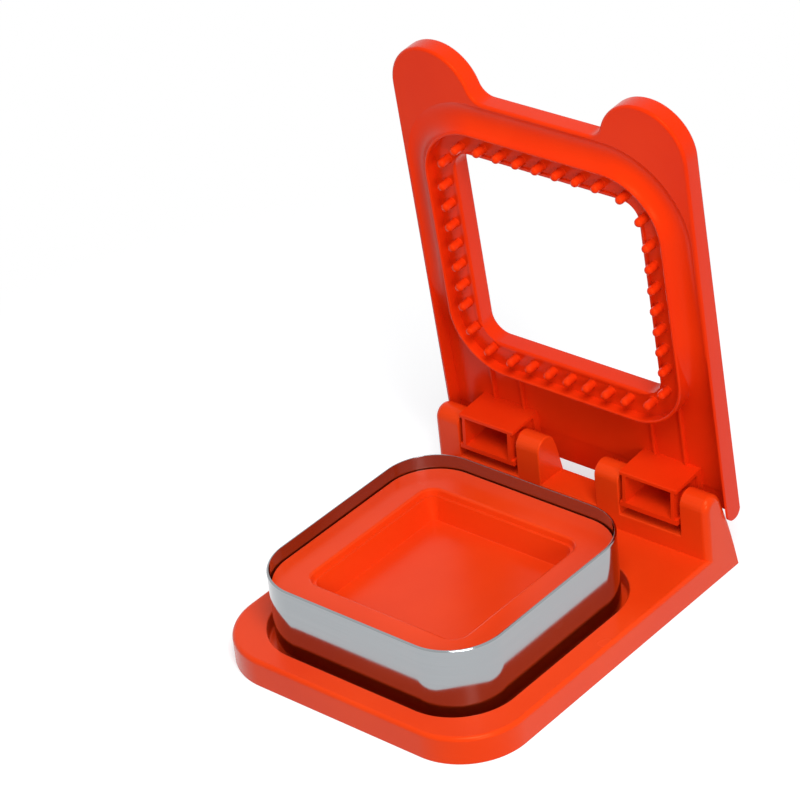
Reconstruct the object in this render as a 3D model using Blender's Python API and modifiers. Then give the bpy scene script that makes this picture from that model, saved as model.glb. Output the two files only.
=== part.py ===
"""Sandwich cutter and sealer: a tray with a steel cutting ring, and a hinged pressing lid.

The tray carries a thin rounded-square steel ring, which a hollow sealing platform clamps down from
inside with four screws from beneath. Four uprights at the tray's rear hold the lid, whose two hollow
knuckles turn on stub axles in blind sockets. The lid has a window, a raised skirt that closes over the
ring, and a row of pegs that crimps what lies on the platform.

The frame: X along the hinge, +Y to the rear, +Z up, and the origin under the middle of the object
as it stands open. The lid is drawn in its own frame, with its origin on the hinge axis, its X along
the hinge, its Y towards the free end and its Z out of the pressing face.
"""

import math

import bmesh
import bpy
from mathutils import Matrix, Vector

MM = 0.001

# Driving sizes of the whole object
TRAY_WIDTH = 120 * MM
PLATE_HEIGHT = 10.6 * MM
RING_HALF = 47.8 * MM
RING_TOP = 34.7 * MM
OPEN_ANGLE = math.radians(85.25)
CLEARANCE = 0.3 * MM

# Tray
TRAY_WALL = 2.2 * MM
TRAY_CORNER = 24.6 * MM
TRAY_EDGE_ROUND = 1.6 * MM
FRONT_MARGIN = 8.5 * MM
SHELF_DEPTH = 17.5 * MM
MOAT_GAP = 2.7 * MM
MOAT_FLOOR = 5.0 * MM
MOAT_EDGE_ROUND = 0.6 * MM
RIB_THICKNESS = 1.6 * MM
RIB_LIFT = 1.2 * MM
SIDE_RIB_SHARES = (-0.62, 0.0, 0.62)
REAR_RIB_SHARES = (-0.56, 0.0, 0.56)

# Uprights at the tray's rear and the web that joins them
UPRIGHT_DEPTH = 17 * MM
UPRIGHT_TOP_ROUND = 4.9 * MM
UPRIGHT_ABOVE_AXIS = 3.9 * MM
WEB_BELOW_AXIS = 13.3 * MM
INNER_UPRIGHT_START = 12.3 * MM
INNER_UPRIGHT_WIDTH = 10.3 * MM
OUTER_UPRIGHT_WIDTH = 11.3 * MM
SOCKET_RADIUS = 2.1 * MM
SOCKET_DEPTH = 3.2 * MM
SOCKET_SEAT = 2.4 * MM

# Hinge axis, from the tray's rear edge, and how far the closed lid's face drops below the ring's edge
HINGE_INSET = 10.8 * MM
RING_BITE = 0.3 * MM

# Cutting ring
RING_CORNER = 20.1 * MM
RING_WALL = 0.8 * MM
RING_FLANGE = 6 * MM
RING_EDGE = 0.45 * MM

# Sealing platform
LAND_DROP = 5.3 * MM
PLATFORM_WALL = 2.2 * MM
LAND_WIDTH = 13 * MM
DISH_DEPTH = 10.5 * MM
DISH_DRAFT = 3 * MM
DISH_CORNER = 9 * MM

# Screws and the bosses that take them
SCREW_INSET = 14.8 * MM
SCREW_RADIUS = 1.3 * MM
SCREW_LENGTH = 12.5 * MM
SCREW_TIP = 1.3 * MM
HEAD_RADIUS = 2.75 * MM
HEAD_HEIGHT = 1.9 * MM
HEAD_ROUND = 0.7 * MM
SLOT_WIDTH = 0.75 * MM
SLOT_LENGTH = 3.6 * MM
SLOT_DEPTH = 1.0 * MM
BOSS_WALL = 2.1 * MM
COLLAR_WALL = 1.7 * MM
COLLAR_LIFT = 0.3 * MM

# Lid plate
LID_HALF_WIDTH = 61.2 * MM
LID_THICKNESS = 7.3 * MM
LID_TOP_MARGIN = 13.1 * MM
LID_TAIL = 12 * MM
LID_TAIL_ROUND = 3.4 * MM
LID_EDGE_ROUND = 1.0 * MM
LID_FACE_OFFSET = 3.8 * MM
EAR_RADIUS = 17.3 * MM
EAR_BASE = 1.0 * MM
EAR_FILLET = 6 * MM
HINGE_RELIEF = 3.0 * MM
HINGE_RELIEF_REACH = 3.6 * MM
WINDOW_INSET = 9.0 * MM
WINDOW_CORNER = 7 * MM
WINDOW_EDGE_ROUND = 1.2 * MM

# Skirt round the pegs, and the pegs
SKIRT_HEIGHT = 3.25 * MM
SKIRT_FLARE = 4.4 * MM
SKIRT_WALL = 1.2 * MM
SKIRT_GAP = 1.1 * MM
CHANNEL_DEPTH = 0.6 * MM
CHANNEL_INSET = 7.5 * MM
CHANNEL_CORNER = 9 * MM
PEG_INSET = 4.7 * MM
PEG_SPREAD = 0.1926
PEGS_ON_A_SIDE = 7
PEG_CORNER_FAR_INSET = 6.3 * MM
PEG_CORNER_NEAR_INSET = 13.1 * MM
PEG_RADIUS = 1.6 * MM
PEG_REACH = 4.5 * MM
PEG_SIDES = 12

# Knuckles
KNUCKLE_PLAY = 0.9 * MM
KNUCKLE_TOP = 5.3 * MM
KNUCKLE_BOTTOM = 8.6 * MM
KNUCKLE_TOP_REACH = 9.4 * MM
KNUCKLE_BOTTOM_REACH = 11.4 * MM
KNUCKLE_TOP_WALL = 1.3 * MM
KNUCKLE_BOTTOM_WALL = 2.0 * MM
KNUCKLE_SIDE_WALL = 1.3 * MM
KNUCKLE_SLOT = 1.2 * MM
KNUCKLE_FLOOR = 1.0 * MM
AXLE_RADIUS = 1.8 * MM
AXLE_END_GAP = 0.4 * MM
STRUT_SHARES = (0.25, 0.75)
STRUT_WIDTH = 1.5 * MM
STRUT_HEIGHT = 3.0 * MM

# One overrun for every cut, one overlap for every join
OVERRUN = 2 * MM
OVERLAP = 0.4 * MM

CORNER_STEPS = 8
ROUND_STEPS = 6
CIRCLE_SIDES = 24

# Places that follow from the sizes above
MOAT_HALF = RING_HALF + MOAT_GAP
MOAT_CORNER = RING_CORNER + MOAT_GAP
RING_CENTRE = FRONT_MARGIN + MOAT_HALF
TRAY_DEPTH = RING_CENTRE + MOAT_HALF + SHELF_DEPTH + UPRIGHT_DEPTH
HINGE_DEPTH = TRAY_DEPTH - HINGE_INSET
HINGE_HEIGHT = RING_TOP - RING_BITE - LID_FACE_OFFSET
UPRIGHT_TOP = HINGE_HEIGHT + UPRIGHT_ABOVE_AXIS
WEB_TOP = HINGE_HEIGHT - WEB_BELOW_AXIS
INNER_UPRIGHT_END = INNER_UPRIGHT_START + INNER_UPRIGHT_WIDTH
OUTER_UPRIGHT_START = TRAY_WIDTH / 2 - OUTER_UPRIGHT_WIDTH
KNUCKLE_START = INNER_UPRIGHT_END + KNUCKLE_PLAY
KNUCKLE_END = OUTER_UPRIGHT_START - KNUCKLE_PLAY
LAND_HEIGHT = RING_TOP - LAND_DROP
SCREW_PLACE = RING_HALF - SCREW_INSET
FLOOR_BOTTOM = MOAT_FLOOR - TRAY_WALL
RING_BOTTOM = MOAT_FLOOR + CLEARANCE
PLATFORM_BOTTOM = RING_BOTTOM + RING_WALL + CLEARANCE
PLATFORM_HALF = RING_HALF - RING_WALL - CLEARANCE
PLATFORM_CORNER = RING_CORNER - RING_WALL - CLEARANCE
UPRIGHT_FRONT = TRAY_DEPTH - UPRIGHT_DEPTH
LID_BACK_REACH = LID_THICKNESS + LID_FACE_OFFSET - LID_TAIL_ROUND
REAR_EXTENT = (
    HINGE_DEPTH
    + math.cos(OPEN_ANGLE) * (LID_TAIL - LID_TAIL_ROUND)
    + math.sin(OPEN_ANGLE) * LID_BACK_REACH
    + LID_TAIL_ROUND
)
FRONT_Y = -REAR_EXTENT / 2
RING_Y = FRONT_Y + RING_CENTRE
HINGE_Y = FRONT_Y + HINGE_DEPTH
RING_REACH = HINGE_DEPTH - RING_CENTRE
LID_TOP_EDGE = RING_REACH + RING_HALF + LID_TOP_MARGIN
WINDOW_HALF = RING_HALF - WINDOW_INSET
CHANNEL_INNER = RING_HALF - CHANNEL_INSET
PEG_LINE = RING_HALF - PEG_INSET
PEG_PITCH = PEG_LINE * PEG_SPREAD
PEG_CORNER_FAR = RING_HALF - PEG_CORNER_FAR_INSET
PEG_CORNER_NEAR = RING_HALF - PEG_CORNER_NEAR_INSET
FACE_Z = -LID_FACE_OFFSET
SKIRT_HALF = RING_HALF + SKIRT_GAP
SKIRT_CORNER = RING_CORNER + SKIRT_GAP


def linear(code):
    """A six-digit hex colour as a linear RGBA value."""
    channels = [int(code[i : i + 2], 16) / 255 for i in (0, 2, 4)]
    return [c / 12.92 if c <= 0.04045 else ((c + 0.055) / 1.055) ** 2.4 for c in channels] + [1.0]


def material(name, code, roughness, metallic=0.0):
    made = bpy.data.materials.new(name)
    made.use_nodes = True
    shader = made.node_tree.nodes["Principled BSDF"]
    shader.inputs["Base Color"].default_value = linear(code)
    shader.inputs["Roughness"].default_value = roughness
    shader.inputs["Metallic"].default_value = metallic
    return made


def collection(name):
    made = bpy.data.collections.new(name)
    bpy.context.scene.collection.children.link(made)
    return made


def arc(centre, radius, start, end, steps):
    """Points of an arc, angles in degrees."""
    angles = [math.radians(start + (end - start) * i / steps) for i in range(steps + 1)]
    return [(centre[0] + radius * math.cos(a), centre[1] + radius * math.sin(a)) for a in angles]


def rounded_rectangle(left, right, front, rear, front_corner, rear_corner):
    """Outline from the right front corner, counter-clockwise. A corner of zero stays sharp."""
    corners = (
        (right - front_corner, front + front_corner, front_corner, 270),
        (right - rear_corner, rear - rear_corner, rear_corner, 0),
        (left + rear_corner, rear - rear_corner, rear_corner, 90),
        (left + front_corner, front + front_corner, front_corner, 180),
    )
    points = []
    for x, y, radius, start in corners:
        if radius > 0:
            points += arc((x, y), radius, start, start + 90, CORNER_STEPS)
        else:
            points.append((x, y))
    return points


def rounded_square(half, corner, centre_y):
    return rounded_rectangle(-half, half, centre_y - half, centre_y + half, corner, corner)


def slab(name, outlines, bottom, top, home, rotation=None):
    """A flat outline, with any further outlines as holes, as a 2D curve that is made a solid mesh.

    It lies between bottom and top along Z, and rotation then turns it.
    """
    curve = bpy.data.curves.new(name, "CURVE")
    curve.dimensions = "2D"
    curve.fill_mode = "BOTH"
    curve.extrude = (top - bottom) / 2
    for outline in outlines:
        spline = curve.splines.new("POLY")
        spline.points.add(len(outline) - 1)
        for point, (x, y) in zip(spline.points, outline):
            point.co = (x, y, 0, 1)
        spline.use_cyclic_u = True
    flat = bpy.data.objects.new(name + "_outline", curve)
    home.objects.link(flat)
    bpy.context.view_layer.update()
    mesh = bpy.data.meshes.new_from_object(flat.evaluated_get(bpy.context.evaluated_depsgraph_get()))
    bpy.data.objects.remove(flat)
    mesh.transform(Matrix.Translation((0, 0, (top + bottom) / 2)))
    if rotation:
        mesh.transform(rotation)
    return solid(name, mesh, home, whole_caps=len(outlines) == 1)


def solid(name, mesh, home, whole_caps=True):
    """An object from a mesh whose loose caps are welded and whose faces point out.

    Whole caps are made one face each, which a cap with a hole in it can't be.
    """
    shape = bmesh.new()
    shape.from_mesh(mesh)
    bmesh.ops.remove_doubles(shape, verts=shape.verts, dist=CLEARANCE / 300)
    if whole_caps:
        bmesh.ops.dissolve_limit(shape, angle_limit=math.radians(0.5), verts=shape.verts, edges=shape.edges)
    bmesh.ops.recalc_face_normals(shape, faces=shape.faces)
    shape.to_mesh(mesh)
    shape.free()
    made = bpy.data.objects.new(name, mesh)
    home.objects.link(made)
    return made


def loft(name, sections, home, ring=False):
    """A solid through outlines of equal length, each a list of 3D points. A ring closes on itself."""
    mesh = bpy.data.meshes.new(name)
    shape = bmesh.new()
    loops = []
    for section in sections:
        verts = [shape.verts.new(p) for p in section]
        loops.append([shape.edges.new((a, b)) for a, b in zip(verts, verts[1:] + verts[:1])])
    pairs = list(zip(loops, loops[1:]))
    if ring:
        pairs.append((loops[-1], loops[0]))
    for lower, upper in pairs:
        bmesh.ops.bridge_loops(shape, edges=lower + upper)
    if not ring:
        for loop in (loops[0], loops[-1]):
            bmesh.ops.contextual_create(shape, geom=loop)
    shape.to_mesh(mesh)
    shape.free()
    return solid(name, mesh, home)


def box(name, low, high, home):
    mesh = bpy.data.meshes.new(name)
    shape = bmesh.new()
    bmesh.ops.create_cube(shape, size=1)
    size = [h - l for l, h in zip(low, high)]
    middle = [(h + l) / 2 for l, h in zip(low, high)]
    bmesh.ops.scale(shape, vec=size, verts=shape.verts)
    bmesh.ops.translate(shape, vec=middle, verts=shape.verts)
    shape.to_mesh(mesh)
    shape.free()
    made = bpy.data.objects.new(name, mesh)
    home.objects.link(made)
    return made


def cylinder(name, radius, start, end, home):
    """A round bar between two points."""
    start, end = Vector(start), Vector(end)
    mesh = bpy.data.meshes.new(name)
    shape = bmesh.new()
    bmesh.ops.create_cone(
        shape,
        cap_ends=True,
        segments=CIRCLE_SIDES,
        radius1=radius,
        radius2=radius,
        depth=(end - start).length,
    )
    turn = (end - start).to_track_quat("Z", "Y").to_matrix().to_4x4()
    bmesh.ops.transform(shape, matrix=Matrix.Translation((start + end) / 2) @ turn, verts=shape.verts)
    shape.to_mesh(mesh)
    shape.free()
    made = bpy.data.objects.new(name, mesh)
    home.objects.link(made)
    return made


def side_profile(name, outline, left, right, home):
    """An outline in (y, z), run along X from left to right."""
    turn = Matrix(((0, 0, 1, 0), (1, 0, 0, 0), (0, 1, 0, 0), (0, 0, 0, 1)))
    return slab(name, [outline], left, right, home, turn)


def round_edges(target, chosen, width, segments=2):
    """A bevel on the sharp edges that chosen(start, end) picks, with a share of the width each."""
    shape = bmesh.new()
    shape.from_mesh(target.data)
    weights = shape.edges.layers.float.new("bevel_weight_edge")
    for edge in shape.edges:
        if edge.calc_face_angle() > math.radians(30):
            edge[weights] = chosen(*(vert.co for vert in edge.verts))
    shape.to_mesh(target.data)
    shape.free()
    bevel = target.modifiers.new("Rounding", "BEVEL")
    bevel.limit_method = "WEIGHT"
    bevel.width = width
    bevel.segments = segments
    bevel.use_clamp_overlap = True
    return bevel


def at_height(height):
    """Picks the edges that lie at one height."""
    return lambda a, b: float(abs(a.z - height) < CLEARANCE / 30 and abs(b.z - height) < CLEARANCE / 30)


def combine(target, others, operation, name):
    """One Boolean with a group of helpers, which go out of sight in a collection of their own."""
    group = bpy.data.collections.new(name)
    helpers.children.link(group)
    for other in others:
        for owner in list(other.users_collection):
            owner.objects.unlink(other)
        group.objects.link(other)
        other.hide_render = True
        other.display_type = "WIRE"
    modifier = target.modifiers.new(name, "BOOLEAN")
    modifier.operation = operation
    modifier.solver = "EXACT"
    modifier.operand_type = "COLLECTION"
    modifier.collection = group


def finish(target, surface):
    target.data.materials.clear()
    target.data.materials.append(surface)
    target.data.shade_smooth()
    target.data.set_sharp_from_angle(angle=math.radians(35))


def upright_outline(top):
    """Side view of an upright, or of the web where top is lower, with its sloping back."""
    front = FRONT_Y + UPRIGHT_FRONT
    rear = FRONT_Y + TRAY_DEPTH
    centre = (front + UPRIGHT_TOP_ROUND, UPRIGHT_TOP - UPRIGHT_TOP_ROUND)
    slope = math.atan2(rear - centre[0] - UPRIGHT_TOP_ROUND, centre[1])
    crown = arc(centre, UPRIGHT_TOP_ROUND, 180, math.degrees(slope), 2 * ROUND_STEPS)
    if top >= UPRIGHT_TOP:
        return [(front, 0), (rear, 0)] + crown[::-1]
    back = crown[-1]
    share = top / back[1]
    return [(front, 0), (rear, 0), (rear + share * (back[0] - rear), top), (front, top)]


def hollow_outline(top):
    """The same side view drawn in by the wall, open below, up to a flat top."""
    front = FRONT_Y + UPRIGHT_FRONT + TRAY_WALL
    rear = FRONT_Y + TRAY_DEPTH - TRAY_WALL
    crown_rear = FRONT_Y + UPRIGHT_FRONT + 2 * UPRIGHT_TOP_ROUND - TRAY_WALL
    lean = (rear - crown_rear) / (UPRIGHT_TOP - UPRIGHT_TOP_ROUND)
    return [(front, -OVERRUN), (rear, -OVERRUN), (rear - lean * top, top), (front, top)]


def make_tray():
    """The tray: a thin-walled shell with the moat, the uprights and the screw collars in one moulding."""
    half = TRAY_WIDTH / 2
    rear = FRONT_Y + TRAY_DEPTH
    outline = rounded_rectangle(-half, half, FRONT_Y, rear, TRAY_CORNER, 0)
    tray = slab("base_tray", [outline], 0, PLATE_HEIGHT, parts)
    round_edges(tray, at_height(PLATE_HEIGHT), TRAY_EDGE_ROUND, 3)

    # The rear web and uprights stand on the plate, flush with the tray's sides
    rises = [side_profile("web", upright_outline(WEB_TOP), -half, half, helpers)]
    spans = ((INNER_UPRIGHT_START, INNER_UPRIGHT_END), (OUTER_UPRIGHT_START, half))
    for side in (-1, 1):
        for start, end in spans:
            left, right = sorted((side * start, side * end))
            rises.append(side_profile("upright", upright_outline(UPRIGHT_TOP), left, right, helpers))
    combine(tray, rises, "UNION", "Tray uprights")

    # The underside is hollow: one wide pocket, and one up each upright
    inner = rounded_rectangle(
        TRAY_WALL - half, half - TRAY_WALL, FRONT_Y + TRAY_WALL, rear - TRAY_WALL, TRAY_CORNER - TRAY_WALL, 0
    )
    hollows = [slab("pocket", [inner], -OVERRUN, PLATE_HEIGHT - TRAY_WALL, helpers)]
    reach = half - TRAY_WALL
    hollows.append(side_profile("web_hollow", hollow_outline(WEB_TOP - TRAY_WALL), -reach, reach, helpers))
    hollow_top = HINGE_HEIGHT - SOCKET_RADIUS - SOCKET_SEAT
    for side in (-1, 1):
        for start, end in spans:
            left, right = sorted((side * (start + TRAY_WALL), side * (end - TRAY_WALL)))
            hollows.append(side_profile("upright_hollow", hollow_outline(hollow_top), left, right, helpers))
    combine(tray, hollows, "DIFFERENCE", "Tray hollows")

    # The moat's pan, its collars round the screws, and ribs that tie pan and wall together
    pan = rounded_square(MOAT_HALF + TRAY_WALL, MOAT_CORNER + TRAY_WALL, RING_Y)
    fills = [slab("pan", [pan], FLOOR_BOTTOM, PLATE_HEIGHT - TRAY_WALL / 2, helpers)]
    collar = HEAD_RADIUS + CLEARANCE + COLLAR_WALL
    for x, y in screw_places():
        top = MOAT_FLOOR - OVERLAP
        fills.append(cylinder("collar", collar, (x, y, COLLAR_LIFT), (x, y, top), helpers))
    rib_top = PLATE_HEIGHT - TRAY_WALL / 2
    rib_half = RIB_THICKNESS / 2
    for share in SIDE_RIB_SHARES:
        y = RING_Y + share * MOAT_HALF
        x = share * MOAT_HALF
        for side in (-1, 1):
            left, right = sorted((side * (MOAT_HALF + OVERLAP), side * (half - OVERLAP)))
            low, high = (left, y - rib_half, RIB_LIFT), (right, y + rib_half, rib_top)
            fills.append(box("side_rib", low, high, helpers))
        low = (x - rib_half, FRONT_Y + OVERLAP, RIB_LIFT)
        fills.append(box("front_rib", low, (x + rib_half, RING_Y - MOAT_HALF - OVERLAP, rib_top), helpers))
    for share in REAR_RIB_SHARES:
        x = share * half
        low = (x - rib_half, RING_Y + MOAT_HALF + OVERLAP, RIB_LIFT)
        high = (x + rib_half, FRONT_Y + UPRIGHT_FRONT + TRAY_WALL + OVERLAP, rib_top)
        fills.append(box("rear_rib", low, high, helpers))
    combine(tray, fills, "UNION", "Tray pan and ribs")

    # The moat, the sockets and the screw holes
    floor = rounded_square(MOAT_HALF, MOAT_CORNER, RING_Y)
    lip = rounded_square(MOAT_HALF + MOAT_EDGE_ROUND, MOAT_CORNER + MOAT_EDGE_ROUND, RING_Y)
    levels = (
        (floor, MOAT_FLOOR),
        (floor, PLATE_HEIGHT - MOAT_EDGE_ROUND),
        (lip, PLATE_HEIGHT),
        (lip, PLATE_HEIGHT + OVERRUN),
    )
    cuts = [loft("moat", [[(x, y, z) for x, y in outline] for outline, z in levels], helpers)]
    for side in (-1, 1):
        for face, depth in ((INNER_UPRIGHT_END, -SOCKET_DEPTH), (OUTER_UPRIGHT_START, SOCKET_DEPTH)):
            mouth = face - math.copysign(CLEARANCE, depth)
            cuts.append(
                cylinder(
                    "socket",
                    SOCKET_RADIUS,
                    (side * mouth, HINGE_Y, HINGE_HEIGHT),
                    (side * (face + depth), HINGE_Y, HINGE_HEIGHT),
                    helpers,
                )
            )
    for x, y in screw_places():
        bottom = -OVERRUN
        for name, radius, top in (
            ("counterbore", HEAD_RADIUS + CLEARANCE, FLOOR_BOTTOM),
            ("hole", SCREW_RADIUS + CLEARANCE, MOAT_FLOOR + OVERRUN),
        ):
            cuts.append(cylinder(name, radius, (x, y, bottom), (x, y, top), helpers))
    combine(tray, cuts, "DIFFERENCE", "Tray cuts")
    finish(tray, red_plastic)


def screw_places():
    return [(sx * SCREW_PLACE, RING_Y + sy * SCREW_PLACE) for sx in (-1, 1) for sy in (-1, 1)]


def make_ring():
    """The cutting ring: a thin band with a sharpened top edge and a flange turned in at its foot."""
    band = rounded_square(RING_HALF, RING_CORNER, RING_Y)
    ring = slab("cutter_ring", [band], RING_BOTTOM, RING_TOP, parts)
    round_edges(ring, at_height(RING_TOP), RING_EDGE, 1)
    bore = rounded_square(RING_HALF - RING_WALL, RING_CORNER - RING_WALL, RING_Y)
    throat = rounded_square(RING_HALF - RING_FLANGE, RING_CORNER - RING_FLANGE, RING_Y)
    cuts = [
        slab("bore", [bore], RING_BOTTOM + RING_WALL, RING_TOP + OVERRUN, helpers),
        slab("throat", [throat], RING_BOTTOM - OVERRUN, RING_TOP, helpers),
    ]
    combine(ring, cuts, "DIFFERENCE", "Ring bore")
    finish(ring, steel)


def make_platform():
    """The sealing platform: a flat land round a dished middle, hollow beneath, with four screw bosses."""
    outer = rounded_square(PLATFORM_HALF, PLATFORM_CORNER, RING_Y)
    platform = slab("sealing_platform", [outer], PLATFORM_BOTTOM, LAND_HEIGHT, parts)
    round_edges(platform, at_height(LAND_HEIGHT), PLATFORM_WALL / 4)

    dish_half = PLATFORM_HALF - LAND_WIDTH
    dish_floor = LAND_HEIGHT - DISH_DEPTH
    levels = (
        (dish_half - DISH_DRAFT, DISH_CORNER - DISH_DRAFT, dish_floor),
        (dish_half, DISH_CORNER, LAND_HEIGHT),
        (dish_half, DISH_CORNER, LAND_HEIGHT + OVERRUN),
    )

    def dish(name, spread, drop):
        outlines = [(rounded_square(h + spread, c + spread, RING_Y), z - drop) for h, c, z in levels]
        return loft(name, [[(x, y, z) for x, y in outline] for outline, z in outlines], helpers)

    core = rounded_square(PLATFORM_HALF - PLATFORM_WALL, PLATFORM_CORNER - PLATFORM_WALL, RING_Y)
    hollow = slab("platform_hollow", [core], PLATFORM_BOTTOM - OVERRUN, LAND_HEIGHT - PLATFORM_WALL, helpers)
    combine(platform, [hollow], "DIFFERENCE", "Platform hollow")
    fills = [dish("dish_shell", PLATFORM_WALL, PLATFORM_WALL)]
    trim = slab("dish_trim", [outer], LAND_HEIGHT - PLATFORM_WALL / 2, LAND_HEIGHT + 2 * OVERRUN, helpers)
    combine(fills[0], [trim], "DIFFERENCE", "Dish trim")
    boss = SCREW_RADIUS + CLEARANCE + BOSS_WALL
    for x, y in screw_places():
        top = dish_floor - PLATFORM_WALL / 2
        fills.append(cylinder("boss", boss, (x, y, PLATFORM_BOTTOM), (x, y, top), helpers))
    combine(platform, fills, "UNION", "Platform dish and bosses")
    cuts = [dish("dish", 0, 0)]
    for x, y in screw_places():
        top = FLOOR_BOTTOM - CLEARANCE + SCREW_LENGTH + 2 * CLEARANCE
        bottom = PLATFORM_BOTTOM - OVERRUN
        cuts.append(cylinder("pilot", SCREW_RADIUS + CLEARANCE, (x, y, bottom), (x, y, top), helpers))
    combine(platform, cuts, "DIFFERENCE", "Platform cuts")
    finish(platform, red_plastic)


def make_screws():
    """Four screws up from beneath: a turned pan head and shank, with a cross recess."""
    seat = FLOOR_BOTTOM - CLEARANCE
    head_base = seat - HEAD_HEIGHT
    places = dict(zip(("front_left", "rear_left", "front_right", "rear_right"), screw_places()))
    for name, (x, y) in places.items():
        mesh = bpy.data.meshes.new("screw_" + name)
        profile = [
            (0, SCREW_LENGTH),
            (SCREW_RADIUS / 2, SCREW_LENGTH),
            (SCREW_RADIUS, SCREW_LENGTH - SCREW_TIP),
            (SCREW_RADIUS, 0),
            (HEAD_RADIUS, 0),
            (HEAD_RADIUS, HEAD_ROUND - HEAD_HEIGHT),
            (HEAD_RADIUS - HEAD_ROUND, -HEAD_HEIGHT),
            (0, -HEAD_HEIGHT),
        ]
        mesh.from_pydata([(r, 0, z) for r, z in profile], [(i, i + 1) for i in range(len(profile) - 1)], [])
        screw = bpy.data.objects.new("screw_" + name, mesh)
        parts.objects.link(screw)
        screw.location = (x, y, seat)
        turn = screw.modifiers.new("Turn", "SCREW")
        turn.steps = turn.render_steps = CIRCLE_SIDES
        turn.use_merge_vertices = True
        turn.merge_threshold = CLEARANCE / 300
        long, wide = SLOT_LENGTH / 2, SLOT_WIDTH / 2
        low, high = head_base - OVERRUN, head_base + SLOT_DEPTH
        slots = [
            box("slot_x", (x - long, y - wide, low), (x + long, y + wide, high), helpers),
            box("slot_y", (x - wide, y - long, low), (x + wide, y + long, high), helpers),
        ]
        combine(screw, slots, "DIFFERENCE", "Recess " + name)
        finish(screw, zinc)


def ear_outline():
    """Right half of the lid's free end: the ear's arc, the fillet at its foot, up to the middle."""
    centre = (LID_HALF_WIDTH - EAR_RADIUS, LID_TOP_EDGE - EAR_BASE)
    rise = EAR_FILLET + EAR_BASE
    run = math.sqrt((EAR_RADIUS + EAR_FILLET) ** 2 - rise**2)
    meet = math.degrees(math.atan2(rise, -run))
    fillet_centre = (centre[0] - run, centre[1] + rise)
    ear = arc(centre, EAR_RADIUS, 0, meet, 2 * CORNER_STEPS)
    fillet = arc(fillet_centre, EAR_FILLET, meet - 180, -90, ROUND_STEPS)
    return ear + fillet[1:]


def peg_places():
    """Seven pegs along each side of the channel and two across each corner."""
    span = (PEGS_ON_A_SIDE - 1) / 2
    row = [(PEG_LINE, (i - span) * PEG_PITCH) for i in range(PEGS_ON_A_SIDE)]
    row += [(PEG_CORNER_FAR, PEG_CORNER_NEAR), (PEG_CORNER_NEAR, PEG_CORNER_FAR)]
    turned = [Matrix.Rotation(math.radians(90 * k), 2) @ Vector(place) for k in range(4) for place in row]
    return [(p.x, p.y + RING_REACH) for p in turned]


def make_lid():
    """The lid, drawn lying on its back with the hinge axis at the origin, then turned to where it rests."""
    floor_z = FACE_Z - CHANNEL_DEPTH
    right = ear_outline()
    left = [(-x, y) for x, y in reversed(right)]
    outline = [(-LID_HALF_WIDTH, -LID_TAIL), (LID_HALF_WIDTH, -LID_TAIL)] + right + left
    back_z = FACE_Z - LID_THICKNESS
    lid = slab("lid", [outline], back_z, FACE_Z, parts)

    tiny = CLEARANCE / 30

    def share(a, b):
        if abs(a.z - b.z) > tiny:
            return 0.0
        if abs(a.y + LID_TAIL) < tiny and abs(b.y + LID_TAIL) < tiny:
            return 1.0
        return LID_EDGE_ROUND / LID_TAIL_ROUND

    round_edges(lid, share, LID_TAIL_ROUND, 3)

    # The window, the channel for the pegs, and the relief that lets the lid swing past the uprights
    channel = [
        rounded_square(SKIRT_HALF + OVERLAP, SKIRT_CORNER + OVERLAP, RING_REACH),
        rounded_square(CHANNEL_INNER, CHANNEL_CORNER, RING_REACH),
    ]
    relief = TRAY_WIDTH / 2 + CLEARANCE
    window = []
    for spread, z in (
        (WINDOW_EDGE_ROUND, back_z - OVERRUN),
        (WINDOW_EDGE_ROUND, back_z),
        (0, back_z + WINDOW_EDGE_ROUND),
        (0, FACE_Z - WINDOW_EDGE_ROUND),
        (WINDOW_EDGE_ROUND, FACE_Z),
        (WINDOW_EDGE_ROUND, FACE_Z + OVERRUN),
    ):
        level = rounded_square(WINDOW_HALF + spread, WINDOW_CORNER + spread, RING_REACH)
        window.append([(x, y, z) for x, y in level])
    cuts = [
        loft("window", window, helpers),
        slab("channel", channel, floor_z, FACE_Z + OVERRUN, helpers),
        box(
            "hinge_relief",
            (-relief, -LID_TAIL - OVERRUN, FACE_Z - HINGE_RELIEF),
            (relief, HINGE_RELIEF_REACH, FACE_Z + OVERRUN),
            helpers,
        ),
    ]
    combine(lid, cuts, "DIFFERENCE", "Lid cuts")

    joins = [make_skirt()]
    joins += [make_peg(x, y, floor_z) for x, y in peg_places()]
    for side in (-1, 1):
        joins += make_knuckle(side)
    combine(lid, joins, "UNION", "Lid joins")
    finish(lid, red_plastic)

    axis = bpy.data.objects.new("lid_axis", None)
    parts.objects.link(axis)
    axis.location = (0, HINGE_Y, HINGE_HEIGHT)
    axis.rotation_euler = (math.pi - OPEN_ANGLE, 0, 0)
    for turned in [lid] + cuts + joins:
        turned.parent = axis


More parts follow.
